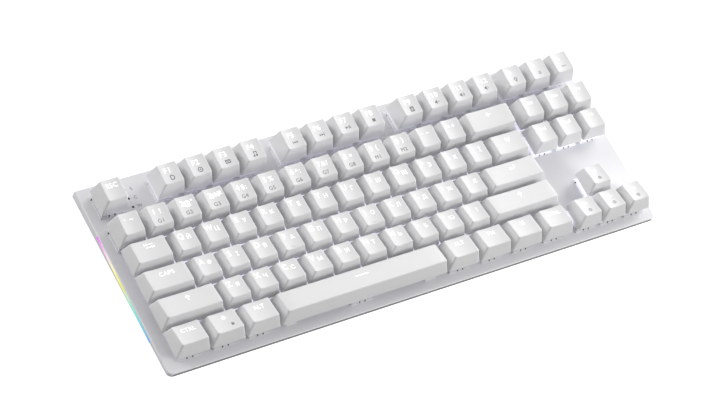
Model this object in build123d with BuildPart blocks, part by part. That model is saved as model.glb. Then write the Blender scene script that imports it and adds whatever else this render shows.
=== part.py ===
"""Tenkeyless mechanical keyboard with an 87-key layout, light bars in its sides and two tilt feet.

World frame: +X to the right, +Y to the back, +Z up, z = 0 on the desk, origin under the middle of
the keyboard's outline. Everything above the tray's floor is square to the deck, a plane that rises
to the back by the typing angle. Deck coordinates are x to the right, y to the back and z out of the
deck, with z = 0 on the top face of the plate.
"""
from math import atan, cos, radians, sin, tan
import os

from build123d import *

# ---------------------------------------------------------------- key grid (mm)
UNIT = 19.05
MAIN_UNITS = 15
NAV_UNITS = 3
ROW_COUNT = 6
NAV_GAP = 3.7
FUNCTION_GAP = 4.76

# ---------------------------------------------------------------- case
TYPING_ANGLE = 4.0
COVER_MARGIN = 4.8
FRONT_CORNER_RADIUS = 3.6
BACK_CORNER_RADIUS = 14.0
INNER_CORNER_RADIUS = 3.0
PLATE_THICKNESS = 1.5
FRONT_RIM_DEPTH = 3.9
BACK_RIM_DEPTH = 7.05
RIM_WALL = 1.8
TOP_CHAMFER = 0.5
FRONT_BEVEL = 0.9
LIP_GAP = 0.15
LIP_WALL = 2.0
WALL_LEAN = 0.55
FLOOR_THICKNESS = 2.0
FLOOR_CLEARANCE = 2.0

# ---------------------------------------------------------------- switches
SWITCH_HOLE = 14.0
HOUSING_SIZE = 13.8
HOUSING_DEPTH = 5.0
FLANGE_SIZE = 15.6
FLANGE_THICKNESS = 1.0
NOTCH_SPACING = 3.8
NOTCH_WIDTH = 0.9
NOTCH_DEPTH = 0.7
SIDE_NOTCH_Y = 5.5
CAVITY_SIZE = 12.0
HOUSING_FLOOR = 1.4
CENTRE_POST_RADIUS = 1.95
CENTRE_POST_LENGTH = 3.3
SPIGOT_RADIUS = 1.3
SPIGOT_HEIGHT = 3.0
TOP_HOUSING_HEIGHT = 5.6
TOP_HOUSING_BASE = 14.0
TOP_HOUSING_TOP = 11.6
TOP_HOUSING_BORE = 10.2
TOP_HOUSING_ROOF = 1.2
NECK_WIDTH = 7.0
NECK_DEPTH = 5.8
NECK_CLEARANCE = 0.3
SHOULDER_WIDTH = 9.4
SHOULDER_DEPTH = 7.4
SHOULDER_HEIGHT = 4.4
SLIDER_GAP = 0.1
SPRING_RADIUS = 2.0
SPRING_WALL = 0.3
SPRING_RECESS = 4.7
SPRING_RECESS_DEPTH = 3.6
CROSS_LENGTH = 4.0
CROSS_WIDTH = 1.2
CROSS_HEIGHT = 3.6
CROSS_CLEARANCE = 0.025
SEAT_GAP = 0.05

# ---------------------------------------------------------------- keycaps
SKIRT_HEIGHT = 6.5
SKIRT_INSET = 0.45
TOP_INSET = 3.2
TOP_DEPTH = 13.9
CAP_WALL = 1.35
CAP_ROOF = 1.9
CAP_BASE_RADIUS = 0.8
CAP_TOP_RADIUS = 1.8
DISH_DEPTH = 0.6
CAP_POST_RADIUS = 3.0
CAP_POST_CORNERS = 8
# Row profile: how far the top face's front edge is set back from the unit cell's front edge, how
# high that edge stands above the skirt, and the slope of the top face (positive rises to the back).
PROFILES = {
    "function": (2.95, 11.35, 1.5),
    "number": (2.95, 11.35, 2.0),
    "upper": (3.15, 9.7, -2.8),
    "home": (3.25, 9.2, -6.0),
    "lower": (3.6, 10.15, -10.5),
    "bottom": (3.8, 10.3, -11.5),
}

# ---------------------------------------------------------------- stabilisers
WIDE_KEY_SPREAD = 11.94
SPACE_KEY_SPREAD = 50.0
STEM_SIZE = 5.0
STEM_CLEARANCE = 0.2
STEM_BOTTOM = 0.3
STABILISER_WIDTH = 6.6
STABILISER_LENGTH = 13.6
STABILISER_TOP = 2.4
STABILISER_BOTTOM = 4.6
STABILISER_FLANGE = 14.6
STABILISER_FLANGE_WIDTH = 8.0
STABILISER_HOLE_CLEARANCE = 0.2
WIRE_RADIUS = 0.75
WIRE_REACH = 8.7
WIRE_HEIGHT = 0.9
WIRE_SLACK = 0.1
WIRE_SLOT_WIDTH = 2.1
WIRE_SLOT_HEIGHT = 3.2
WIRE_END = 1.2
WIRE_EAR = 1.9
TRAVEL = 4.0

# ---------------------------------------------------------------- board and electronics
BOARD_THICKNESS = 1.6
BOARD_INSET = 1.5
BOARD_CORNER_RADIUS = 9.0
BOARD_HOLE_CLEARANCE = 0.1
LED_LENGTH = 3.2
LED_WIDTH = 2.6
LED_HEIGHT = 1.0
LED_CLEARANCE = 0.3
LED_SETBACK = 4.3
CHIP_SIZE = 7.0
CHIP_HEIGHT = 1.0
CHIP_UNITS = 9.5
SOCKET_WIDTH = 9.0
SOCKET_HEIGHT = 3.2
SOCKET_LENGTH = 8.6
SOCKET_WALL = 0.3
SOCKET_RECESS = 0.6
SOCKET_TONGUE = 0.7
SOCKET_BACK_WALL = 1.2
SOCKET_UNITS = 6.25
SOCKET_CLEARANCE = 0.2
INDICATOR_RADIUS = 0.75
INDICATOR_CLEARANCE = 0.05
INDICATOR_X = 24.6
INDICATOR_SPACING = 6.0
INDICATOR_COUNT = 3

# ---------------------------------------------------------------- light bars
BAR_LENGTH = 72.6
BAR_HEIGHT = 1.9
BAR_SLOPE = 1.26
BAR_CLEARANCE = 0.05
BAR_CENTRE_Y = -3.8
BAR_CENTRE_DEPTH = 2.1
LED_BOARD_THICKNESS = 0.8
LED_BOARD_GAP = 0.2

# ---------------------------------------------------------------- screws
SCREW_RADIUS = 1.25
SCREW_LENGTH = 8.0
SCREW_HEAD_RADIUS = 2.3
SCREW_HEAD_HEIGHT = 1.6
SCREW_DRIVE = 1.1
SCREW_FIT = 0.05
BOSS_RADIUS = 3.0
BOSS_DEPTH = 8.6
BOSS_GAP = 0.1
BOSS_CLEARANCE = 0.4
COLUMN_RADIUS = 4.0
SEAT_WALL = 1.8
SCREW_DRIVE_SIDES = 6
# Screws of the back and front rows, in units from the key field's left edge.
BACK_SCREW_UNITS = (1.25, 7.0, 12.5)
FRONT_SCREW_UNITS = (1.25, 11.25)

# ---------------------------------------------------------------- feet
PAD_LENGTH = 24.0
PAD_WIDTH = 9.0
PAD_HEIGHT = 1.2
PAD_RECESS = 0.8
PAD_CLEARANCE = 0.1
PAD_SIDE_INSET = 52.0
PAD_FRONT_INSET = 22.0
PAD_BACK_INSET = 19.0
LEG_LENGTH = 27.0
LEG_WIDTH = 16.0
LEG_THICKNESS = 5.0
LEG_CLEARANCE = 0.4
LEG_RECESS = 0.3
LEG_SIDE_INSET = 80.0
LEG_BACK_INSET = 19.0
LEG_PAD_THICKNESS = 1.0
HINGE_PIN_RADIUS = 1.2
HINGE_PIN_CLEARANCE = 0.05
HINGE_PIN_LENGTH = 1.5
POCKET_WALL = 2.0

# ---------------------------------------------------------------- layout
# A run is (node, number of keys, key width in units, gap in units to the left of the run).
MAIN_ROWS = {
    "function": [("key_escape", 1, 1, 0), ("keys_f1_to_f4", 4, 1, 1),
                 ("keys_f5_to_f8", 4, 1, 0.5), ("keys_f9_to_f12", 4, 1, 0.5)],
    "number": [("keys_number_left", 7, 1, 0), ("keys_number_right", 6, 1, 0),
               ("key_backspace", 1, 2, 0)],
    "upper": [("key_tab", 1, 1.5, 0), ("keys_upper_left", 5, 1, 0),
              ("keys_upper_right", 7, 1, 0), ("key_backslash", 1, 1.5, 0)],
    "home": [("key_caps_lock", 1, 1.75, 0), ("keys_home_left", 5, 1, 0),
             ("keys_home_right", 6, 1, 0), ("key_enter", 1, 2.25, 0)],
    "lower": [("key_left_shift", 1, 2.25, 0), ("keys_lower_left", 5, 1, 0),
              ("keys_lower_right", 5, 1, 0), ("key_right_shift", 1, 2.75, 0)],
    "bottom": [("key_left_control", 1, 1.25, 0), ("key_left_super", 1, 1.25, 0),
               ("key_left_alt", 1, 1.25, 0), ("key_space", 1, 6.25, 0),
               ("key_right_alt", 1, 1.25, 0), ("key_function", 1, 1.25, 0),
               ("key_menu", 1, 1.25, 0), ("key_right_control", 1, 1.25, 0)],
}
NAV_ROWS = {
    "function": [("keys_print_scroll_pause", 3, 1, 0)],
    "number": [("keys_insert_home_page_up", 3, 1, 0)],
    "upper": [("keys_delete_end_page_down", 3, 1, 0)],
    "lower": [("key_arrow_up", 1, 1, 1)],
    "bottom": [("key_arrow_left", 1, 1, 0), ("key_arrow_down", 1, 1, 0),
               ("key_arrow_right", 1, 1, 0)],
}
STABILISED = {
    "key_backspace": WIDE_KEY_SPREAD,
    "key_enter": WIDE_KEY_SPREAD,
    "key_left_shift": WIDE_KEY_SPREAD,
    "key_right_shift": WIDE_KEY_SPREAD,
    "key_space": SPACE_KEY_SPREAD,
}
ROWS_FROM_FRONT = ["bottom", "lower", "home", "upper", "number", "function"]

# ---------------------------------------------------------------- derived sizes
FIELD_WIDTH = (MAIN_UNITS + NAV_UNITS) * UNIT + NAV_GAP
FIELD_DEPTH = ROW_COUNT * UNIT + FUNCTION_GAP
COVER_WIDTH = FIELD_WIDTH + 2 * COVER_MARGIN
COVER_DEPTH = FIELD_DEPTH + 2 * COVER_MARGIN
ANGLE = radians(TYPING_ANGLE)
FLOOR_TOP = PAD_HEIGHT + FLOOR_THICKNESS
POST_TIP = HOUSING_DEPTH + CENTRE_POST_LENGTH
FRONT_ROW_RISE = (COVER_MARGIN + UNIT / 2) * sin(ANGLE)
FRONT_HEIGHT = FLOOR_TOP + FLOOR_CLEARANCE + POST_TIP * cos(ANGLE) - FRONT_ROW_RISE
DECK_HEIGHT = FRONT_HEIGHT + COVER_DEPTH / 2 * sin(ANGLE)
DECK_Y = -(BACK_RIM_DEPTH + TOP_CHAMFER) / 2 * sin(ANGLE)
LIP_TOP = PLATE_THICKNESS + LIP_GAP
LIP_INSET = RIM_WALL + LIP_GAP
TRAY_REACH = FRONT_HEIGHT + COVER_DEPTH * sin(ANGLE)
SCREW_SEAT = BOSS_DEPTH + BOSS_GAP + SEAT_WALL
SCREW_TIP = SCREW_SEAT - SCREW_LENGTH
CAVITY_FLOOR = HOUSING_DEPTH - HOUSING_FLOOR
HOUSING_TOP = FLANGE_THICKNESS + TOP_HOUSING_HEIGHT
CEILING = HOUSING_TOP - TOP_HOUSING_ROOF
SHOULDER_TOP = CEILING - SLIDER_GAP
SHOULDER_BOTTOM = SHOULDER_TOP - SHOULDER_HEIGHT
STEM_SEAT = HOUSING_TOP + NECK_CLEARANCE
SPRING_TOP = SHOULDER_BOTTOM + SPRING_RECESS_DEPTH
BAR_X = COVER_WIDTH / 2 - (LIP_INSET + LIP_WALL) / 2
PIVOT_Z = PAD_HEIGHT + LEG_RECESS + LEG_THICKNESS / 2
PIVOT_Y = COVER_DEPTH / 2 - LEG_BACK_INSET
LEG_X = COVER_WIDTH / 2 - LEG_SIDE_INSET
POCKET_TOP = PAD_HEIGHT + LEG_RECESS + LEG_THICKNESS + LEG_CLEARANCE
POCKET_WIDTH = LEG_WIDTH + 2 * LEG_CLEARANCE
POCKET_LENGTH = LEG_LENGTH + LEG_PAD_THICKNESS + LEG_THICKNESS / 2 + 2 * LEG_CLEARANCE
POCKET_Y = PIVOT_Y + LEG_THICKNESS / 2 + LEG_CLEARANCE - POCKET_LENGTH / 2
SOCKET_X = SOCKET_UNITS * UNIT - FIELD_WIDTH / 2
SOCKET_Y = COVER_DEPTH / 2 - SOCKET_RECESS - SOCKET_LENGTH / 2
SOCKET_Z = -HOUSING_DEPTH + SOCKET_HEIGHT / 2

deck = Plane(origin=(0, DECK_Y, DECK_HEIGHT), x_dir=(1, 0, 0), z_dir=(0, -sin(ANGLE), cos(ANGLE)))
deck_up = Axis(deck.origin, deck.z_dir)
rim_angle = ANGLE - atan((BACK_RIM_DEPTH - FRONT_RIM_DEPTH) / COVER_DEPTH)
rim_base = Plane(origin=deck.offset(-(FRONT_RIM_DEPTH + BACK_RIM_DEPTH) / 2).origin, x_dir=(1, 0, 0),
                 z_dir=(0, -sin(rim_angle), cos(rim_angle)))


def on_deck(x, y, z=0.0):
    """Place of a point given in deck coordinates."""
    return deck.location * Location((x, y, z))


def row_centre(row):
    """Deck y of a row's key centres."""
    index = ROWS_FROM_FRONT.index(row)
    gap = FUNCTION_GAP if row == "function" else 0
    return (index + 0.5) * UNIT + gap - FIELD_DEPTH / 2


def lay_out_keys():
    """All keys as node: [(row, width in units, deck x, deck y), ...]."""
    keys = {}
    for rows, start in ((MAIN_ROWS, 0), (NAV_ROWS, MAIN_UNITS * UNIT + NAV_GAP)):
        for row, runs in rows.items():
            left = start - FIELD_WIDTH / 2
            for node, count, width, gap in runs:
                left += gap * UNIT
                for _ in range(count):
                    centre = left + width * UNIT / 2
                    keys.setdefault(node, []).append((row, width, centre, row_centre(row)))
                    left += width * UNIT
    return keys


KEYS = lay_out_keys()
SWITCH_CENTRES = [(x, y) for keys in KEYS.values() for _, _, x, y in keys]
STABILISER_CENTRES = [
    (x + side * spread, y)
    for node, spread in STABILISED.items()
    for _, _, x, y in KEYS[node]
    for side in (-1, 1)
]
INDICATOR_CENTRES = [
    (INDICATOR_X - FIELD_WIDTH / 2, row_centre("function") + step * INDICATOR_SPACING)
    for step in range(-1, INDICATOR_COUNT - 1)
]
FUNCTION_GAP_Y = row_centre("function") - (UNIT + FUNCTION_GAP) / 2
NAV_GAP_X = MAIN_UNITS * UNIT + NAV_GAP / 2 - FIELD_WIDTH / 2
LAST_COLUMN_X = FIELD_WIDTH / 2 - UNIT / 2
SCREW_CENTRES = [
    *[(units * UNIT - FIELD_WIDTH / 2, FUNCTION_GAP_Y) for units in BACK_SCREW_UNITS],
    (LAST_COLUMN_X, FUNCTION_GAP_Y),
    *[(units * UNIT - FIELD_WIDTH / 2, row_centre("bottom")) for units in FRONT_SCREW_UNITS],
    (NAV_GAP_X, row_centre("bottom")),
    (LAST_COLUMN_X, row_centre("home")),
]
PAD_CENTRES = [
    (side * (COVER_WIDTH / 2 - PAD_SIDE_INSET), y)
    for side in (-1, 1)
    for y in (PAD_FRONT_INSET - COVER_DEPTH / 2, COVER_DEPTH / 2 - PAD_BACK_INSET)
]


def finish(builder, name):
    """Label a finished piece and write its STEP file."""
    builder.part.label = name
    export_step(builder.part, f"parts/{name}.step")


def slab(x_size, y_size, low, high, mode=Mode.ADD):
    """A box centred on the local z axis, between two heights."""
    with Locations((0, 0, (low + high) / 2)):
        Box(x_size, y_size, high - low, mode=mode)


def cross(bottom, height, clearance=0.0, mode=Mode.ADD):
    """The cross-shaped stem end, or with a clearance its socket."""
    length = CROSS_LENGTH + 2 * clearance
    width = CROSS_WIDTH + 2 * clearance
    slab(length, width, bottom, bottom + height, mode)
    slab(width, length, bottom, bottom + height, mode)


# ---------------------------------------------------------------- repeated shapes, on the local z axis
def make_bottom_housing():
    """Lower half of a switch: a cup with a flange that rests on the plate."""
    with BuildPart() as housing:
        slab(HOUSING_SIZE, HOUSING_SIZE, -HOUSING_DEPTH, 0)
        slab(FLANGE_SIZE, FLANGE_SIZE, 0, FLANGE_THICKNESS)
        slab(CAVITY_SIZE, CAVITY_SIZE, -CAVITY_FLOOR, FLANGE_THICKNESS, Mode.SUBTRACT)
        with Locations((0, 0, -HOUSING_DEPTH)):
            Cylinder(CENTRE_POST_RADIUS, CENTRE_POST_LENGTH, align=(Align.CENTER, Align.CENTER, Align.MAX))
        with Locations((0, 0, -CAVITY_FLOOR)):
            Cylinder(SPIGOT_RADIUS, SPIGOT_HEIGHT, align=(Align.CENTER, Align.CENTER, Align.MIN))
        with Locations((0, LED_SETBACK, -HOUSING_DEPTH + HOUSING_FLOOR / 2)):
            Box(LED_LENGTH + 2 * LED_CLEARANCE, LED_WIDTH + 2 * LED_CLEARANCE, HOUSING_FLOOR,
                mode=Mode.SUBTRACT)
        edge = (FLANGE_SIZE - NOTCH_DEPTH) / 2
        notches = [(side * NOTCH_SPACING / 2, -edge, FLANGE_THICKNESS / 2) for side in (-1, 1)]
        with Locations(*notches):
            Box(NOTCH_WIDTH, NOTCH_DEPTH, FLANGE_THICKNESS, mode=Mode.SUBTRACT)
        with Locations((-edge, SIDE_NOTCH_Y, FLANGE_THICKNESS / 2)):
            Box(NOTCH_DEPTH, NOTCH_WIDTH, FLANGE_THICKNESS, mode=Mode.SUBTRACT)
    return housing.part


def make_top_housing():
    """Upper half of a switch: a clear tapered cover with a hole for the slider's neck."""
    with BuildPart() as housing:
        with BuildSketch(Plane.XY.offset(FLANGE_THICKNESS)):
            Rectangle(TOP_HOUSING_BASE, TOP_HOUSING_BASE)
        with BuildSketch(Plane.XY.offset(HOUSING_TOP)):
            Rectangle(TOP_HOUSING_TOP, TOP_HOUSING_TOP)
        loft(ruled=True)
        slab(TOP_HOUSING_BORE, TOP_HOUSING_BORE, FLANGE_THICKNESS, CEILING, Mode.SUBTRACT)
        slab(NECK_WIDTH + 2 * NECK_CLEARANCE, NECK_DEPTH + 2 * NECK_CLEARANCE, CEILING, HOUSING_TOP,
             Mode.SUBTRACT)
    return housing.part


def make_spring():
    """The envelope of a switch's coil spring, between housing floor and slider."""
    with BuildPart() as spring:
        with BuildSketch(Plane.XY.offset(-CAVITY_FLOOR)):
            Circle(SPRING_RADIUS)
            Circle(SPRING_RADIUS - SPRING_WALL, mode=Mode.SUBTRACT)
        extrude(amount=CAVITY_FLOOR + SPRING_TOP)
    return spring.part


def make_slider():
    """Switch slider: shoulders, neck, cross, and a recess for the spring."""
    with BuildPart() as slider:
        slab(SHOULDER_WIDTH, SHOULDER_DEPTH, SHOULDER_BOTTOM, SHOULDER_TOP)
        slab(NECK_WIDTH, NECK_DEPTH, SHOULDER_TOP, STEM_SEAT)
        cross(STEM_SEAT, CROSS_HEIGHT)
        slab(SPRING_RECESS, SPRING_RECESS, SHOULDER_BOTTOM, SPRING_TOP, Mode.SUBTRACT)
    return slider.part


def make_stabiliser_stem():
    """Stem under the end of a wide key, with a slot for the wire's arm."""
    slot_length = STEM_SIZE / 2 + WIRE_END + STEM_CLEARANCE
    with BuildPart() as stem:
        slab(STEM_SIZE, STEM_SIZE, STEM_BOTTOM, STEM_SEAT)
        cross(STEM_SEAT, CROSS_HEIGHT)
        with Locations((0, (STEM_SIZE - slot_length) / 2, WIRE_HEIGHT + TRAVEL / 2)):
            Box(WIRE_SLOT_WIDTH, slot_length, WIRE_SLOT_HEIGHT, mode=Mode.SUBTRACT)
    return stem.part


def make_stabiliser_housing(side):
    """Guide for a stem; side is +1 for the guide to the right of the key's middle."""
    bore = STEM_SIZE + 2 * STEM_CLEARANCE
    ear_x = -side * (STABILISER_FLANGE_WIDTH / 2 - WIRE_EAR / 2)
    ear_length = WIRE_REACH + 2 * WIRE_RADIUS - STABILISER_LENGTH / 2
    arm_drop = TRAVEL / 2
    with BuildPart() as guide:
        slab(STABILISER_WIDTH, STABILISER_LENGTH, -STABILISER_BOTTOM, STABILISER_TOP)
        slab(STABILISER_FLANGE_WIDTH, STABILISER_FLANGE, 0, FLANGE_THICKNESS)
        with Locations((ear_x, (STABILISER_LENGTH + ear_length) / 2, STABILISER_TOP / 2)):
            Box(WIRE_EAR, ear_length, STABILISER_TOP)
        slab(bore, bore, -STABILISER_BOTTOM, STABILISER_TOP, Mode.SUBTRACT)
        slot_low = WIRE_HEIGHT - arm_drop - WIRE_RADIUS
        slot_middle = (slot_low + STABILISER_TOP) / 2
        with Locations((0, STABILISER_LENGTH / 2, slot_middle)):
            Box(WIRE_SLOT_WIDTH, STABILISER_LENGTH, STABILISER_TOP - slot_low, mode=Mode.SUBTRACT)
        with Locations(Location((ear_x, WIRE_REACH, WIRE_HEIGHT), (0, 90, 0))):
            Cylinder(WIRE_RADIUS + WIRE_SLACK, 2 * WIRE_EAR, mode=Mode.SUBTRACT)
    return guide.part


def make_keycap(row, width, stem_offsets):
    """A hollow keycap with a dished, sloping top and a post over each stem."""
    front_inset, front_height, slope = PROFILES[row]
    lean = radians(slope)
    base_width = width * UNIT - 2 * SKIRT_INSET
    base_depth = UNIT - 2 * SKIRT_INSET
    top_width = width * UNIT - 2 * TOP_INSET
    top_length = TOP_DEPTH / cos(lean)
    middle = front_inset + TOP_DEPTH / 2 - UNIT / 2
    height = SKIRT_HEIGHT + front_height + TOP_DEPTH / 2 * tan(lean)
    top = Plane(origin=(0, middle, height), x_dir=(1, 0, 0), z_dir=(0, -sin(lean), cos(lean)))
    dish_radius = (top_width / 2) ** 2 / (2 * DISH_DEPTH) + DISH_DEPTH / 2
    dish = top.location * Location((0, 0, dish_radius - DISH_DEPTH), (90, 0, 0))
    post_bottom = STEM_SEAT + SEAT_GAP
    post_top = height - (CAP_ROOF + DISH_DEPTH) / 2
    posts = [(x, 0) for x in stem_offsets]
    with BuildPart() as cap:
        with BuildSketch(Plane.XY.offset(SKIRT_HEIGHT)):
            RectangleRounded(base_width, base_depth, CAP_BASE_RADIUS)
        with BuildSketch(top):
            RectangleRounded(top_width, top_length, CAP_TOP_RADIUS)
        loft()
        if len(stem_offsets) == 1 or stem_offsets[-1] < SPACE_KEY_SPREAD:
            with Locations(dish):
                Cylinder(dish_radius, 2 * UNIT, mode=Mode.SUBTRACT)
        with BuildSketch(Plane.XY.offset(SKIRT_HEIGHT)):
            Rectangle(base_width - 2 * CAP_WALL, base_depth - 2 * CAP_WALL)
        with BuildSketch(top.offset(-CAP_ROOF)):
            Rectangle(top_width - 2 * CAP_WALL, top_length - 2 * CAP_WALL)
        loft(ruled=True, mode=Mode.SUBTRACT)
        with BuildSketch(Plane.XY.offset(post_bottom)):
            with Locations(*posts):
                RegularPolygon(CAP_POST_RADIUS, CAP_POST_CORNERS)
        extrude(amount=post_top - post_bottom)
        with BuildSketch(Plane.XY.offset(post_bottom)):
            with Locations(*posts):
                Rectangle(CROSS_LENGTH + 2 * CROSS_CLEARANCE, CROSS_WIDTH + 2 * CROSS_CLEARANCE)
                Rectangle(CROSS_WIDTH + 2 * CROSS_CLEARANCE, CROSS_LENGTH + 2 * CROSS_CLEARANCE)
        extrude(amount=CROSS_HEIGHT, mode=Mode.SUBTRACT)
    return cap.part


def outline(inset=0.0):
    """The cover's outline, or one set in from it by the same amount all round."""
    with BuildSketch(mode=Mode.PRIVATE) as shape:
        Rectangle(COVER_WIDTH - 2 * inset, COVER_DEPTH - 2 * inset)
        corners = shape.vertices().group_by(Axis.Y)
        fillet(corners[0], max(FRONT_CORNER_RADIUS - inset, INNER_CORNER_RADIUS))
        fillet(corners[-1], max(BACK_CORNER_RADIUS - inset, INNER_CORNER_RADIUS))
    return shape.sketch


os.makedirs("parts", exist_ok=True)

# ---------------------------------------------------------------- top cover
bar_tilt = Location((0, 0, 0), (BAR_SLOPE, 0, 0))
bar_places = {
    f"light_bar_{hand}": on_deck(side * BAR_X, BAR_CENTRE_Y, -BAR_CENTRE_DEPTH) * bar_tilt
    for hand, side in (("left", -1), ("right", 1))
}
socket_place = on_deck(SOCKET_X, SOCKET_Y, SOCKET_Z)

with BuildPart() as top_plate:
    with BuildSketch(deck):
        add(outline())
    extrude(amount=-BACK_RIM_DEPTH)
    split(bisect_by=rim_base, keep=Keep.TOP)
    chamfer(top_plate.faces().sort_by(deck_up)[-1].edges(), TOP_CHAMFER)
    lower_edges = top_plate.faces().sort_by(deck_up)[0].edges()
    chamfer(lower_edges.filter_by(Axis.X).sort_by(Axis.Y)[0], FRONT_BEVEL)
    with BuildSketch(deck.offset(-PLATE_THICKNESS)):
        add(outline(RIM_WALL))
    extrude(amount=-BACK_RIM_DEPTH, mode=Mode.SUBTRACT)
    with BuildSketch(deck):
        with Locations(*SWITCH_CENTRES):
            Rectangle(SWITCH_HOLE, SWITCH_HOLE)
        with Locations(*STABILISER_CENTRES):
            Rectangle(STABILISER_WIDTH + 2 * STABILISER_HOLE_CLEARANCE,
                      STABILISER_LENGTH + 2 * STABILISER_HOLE_CLEARANCE)
        with Locations(*[(x, y + WIRE_REACH / 2) for x, y in STABILISER_CENTRES]):
            Rectangle(WIRE_SLOT_WIDTH + WIRE_RADIUS, WIRE_REACH)
        with Locations(*INDICATOR_CENTRES):
            Circle(INDICATOR_RADIUS + INDICATOR_CLEARANCE)
    extrude(amount=-PLATE_THICKNESS, mode=Mode.SUBTRACT)
    with BuildSketch(deck.offset(-PLATE_THICKNESS)):
        with Locations(*SCREW_CENTRES):
            Circle(BOSS_RADIUS)
    extrude(amount=PLATE_THICKNESS - BOSS_DEPTH)
    with BuildSketch(deck.offset(-BOSS_DEPTH)):
        with Locations(*SCREW_CENTRES):
            Circle(SCREW_RADIUS + SCREW_FIT)
    extrude(amount=BOSS_DEPTH - SCREW_TIP + SCREW_FIT, mode=Mode.SUBTRACT)
    with Locations(*bar_places.values()):
        Box(2 * (LIP_INSET + LIP_WALL), BAR_LENGTH + 2 * BAR_CLEARANCE, BAR_HEIGHT + 2 * BAR_CLEARANCE,
            mode=Mode.SUBTRACT)
    with Locations(socket_place):
        Box(SOCKET_WIDTH + 2 * SOCKET_CLEARANCE, 2 * SOCKET_LENGTH, SOCKET_HEIGHT + 2 * SOCKET_CLEARANCE,
            mode=Mode.SUBTRACT)
finish(top_plate, "top_plate")

# ---------------------------------------------------------------- bottom case
lean_in = WALL_LEAN * (TRAY_REACH - FRONT_RIM_DEPTH)
pocket_places = [(side * LEG_X, POCKET_Y) for side in (-1, 1)]

with BuildPart() as hollow:
    with BuildSketch(deck.offset(-LIP_TOP)):
        add(outline(LIP_INSET + LIP_WALL))
    extrude(amount=LIP_TOP - FRONT_RIM_DEPTH)
    with BuildSketch(deck.offset(-FRONT_RIM_DEPTH)):
        add(outline(LIP_INSET + LIP_WALL))
    with BuildSketch(deck.offset(-TRAY_REACH)):
        add(outline(LIP_INSET + LIP_WALL + lean_in))
    loft()
    split(bisect_by=Plane.XY.offset(FLOOR_TOP), keep=Keep.TOP)

with BuildPart() as bottom_case:
    with BuildSketch(deck.offset(-LIP_TOP)):
        add(outline(LIP_INSET))
    extrude(amount=LIP_TOP - FRONT_RIM_DEPTH)
    with BuildSketch(deck.offset(-FRONT_RIM_DEPTH)):
        add(outline(LIP_INSET))
    with BuildSketch(deck.offset(-TRAY_REACH)):
        add(outline(LIP_INSET + lean_in))
    loft()
    add(hollow.part, mode=Mode.SUBTRACT)
    with BuildSketch(deck.offset(-BOSS_DEPTH - BOSS_GAP)):
        with Locations(*SCREW_CENTRES):
            Circle(COLUMN_RADIUS)
    extrude(amount=BOSS_DEPTH + BOSS_GAP - TRAY_REACH)
    with BuildSketch(Plane.XY.offset(PAD_HEIGHT)):
        with Locations(*pocket_places):
            Rectangle(POCKET_WIDTH + 2 * POCKET_WALL, POCKET_LENGTH + 2 * POCKET_WALL)
    extrude(amount=POCKET_TOP + POCKET_WALL - PAD_HEIGHT)
    split(bisect_by=Plane.XY.offset(PAD_HEIGHT), keep=Keep.TOP)
    with BuildSketch(Plane.XY.offset(PAD_HEIGHT)):
        with Locations(*pocket_places):
            Rectangle(POCKET_WIDTH, POCKET_LENGTH)
    extrude(amount=POCKET_TOP - PAD_HEIGHT, mode=Mode.SUBTRACT)
    with Locations(*[Location((side * LEG_X, PIVOT_Y, PIVOT_Z), (0, 90, 0)) for side in (-1, 1)]):
        Cylinder(HINGE_PIN_RADIUS + HINGE_PIN_CLEARANCE,
                 POCKET_WIDTH + 2 * (HINGE_PIN_LENGTH - LEG_CLEARANCE + HINGE_PIN_CLEARANCE),
                 mode=Mode.SUBTRACT)
    with BuildSketch(deck.offset(-BOSS_DEPTH)):
        with Locations(*SCREW_CENTRES):
            Circle(SCREW_RADIUS + SCREW_FIT)
    extrude(amount=BOSS_DEPTH - TRAY_REACH, mode=Mode.SUBTRACT)
    with BuildSketch(deck.offset(-SCREW_SEAT)):
        with Locations(*SCREW_CENTRES):
            Circle(SCREW_HEAD_RADIUS + 2 * SCREW_FIT)
    extrude(amount=SCREW_SEAT - TRAY_REACH, mode=Mode.SUBTRACT)
    with BuildSketch(Plane.XY.offset(PAD_HEIGHT)):
        with Locations(*PAD_CENTRES):
            SlotOverall(PAD_LENGTH + 2 * PAD_CLEARANCE, PAD_WIDTH + 2 * PAD_CLEARANCE)
    extrude(amount=PAD_RECESS, mode=Mode.SUBTRACT)
    with Locations(*bar_places.values()):
        Box(2 * (LIP_INSET + LIP_WALL), BAR_LENGTH + 2 * BAR_CLEARANCE, BAR_HEIGHT + 2 * BAR_CLEARANCE,
            mode=Mode.SUBTRACT)
    with Locations(socket_place):
        Box(SOCKET_WIDTH + 2 * SOCKET_CLEARANCE, 2 * SOCKET_LENGTH, SOCKET_HEIGHT + 2 * SOCKET_CLEARANCE,
            mode=Mode.SUBTRACT)
finish(bottom_case, "bottom_case")

# ---------------------------------------------------------------- light bars and their LED boards
for name, place in bar_places.items():
    with BuildPart() as light_bar:
        with Locations(place):
            Box(LIP_INSET + LIP_WALL, BAR_LENGTH, BAR_HEIGHT)
    finish(light_bar, name)

with BuildPart() as side_led_boards:
    board_x = COVER_WIDTH / 2 - LIP_INSET - LIP_WALL - LED_BOARD_GAP - LED_BOARD_THICKNESS / 2
    with Locations(*[on_deck(side * board_x, BAR_CENTRE_Y, -BAR_CENTRE_DEPTH - LIP_GAP) * bar_tilt
                     for side in (-1, 1)]):
        Box(LED_BOARD_THICKNESS, BAR_LENGTH, BAR_HEIGHT)
finish(side_led_boards, "side_led_boards")

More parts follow.
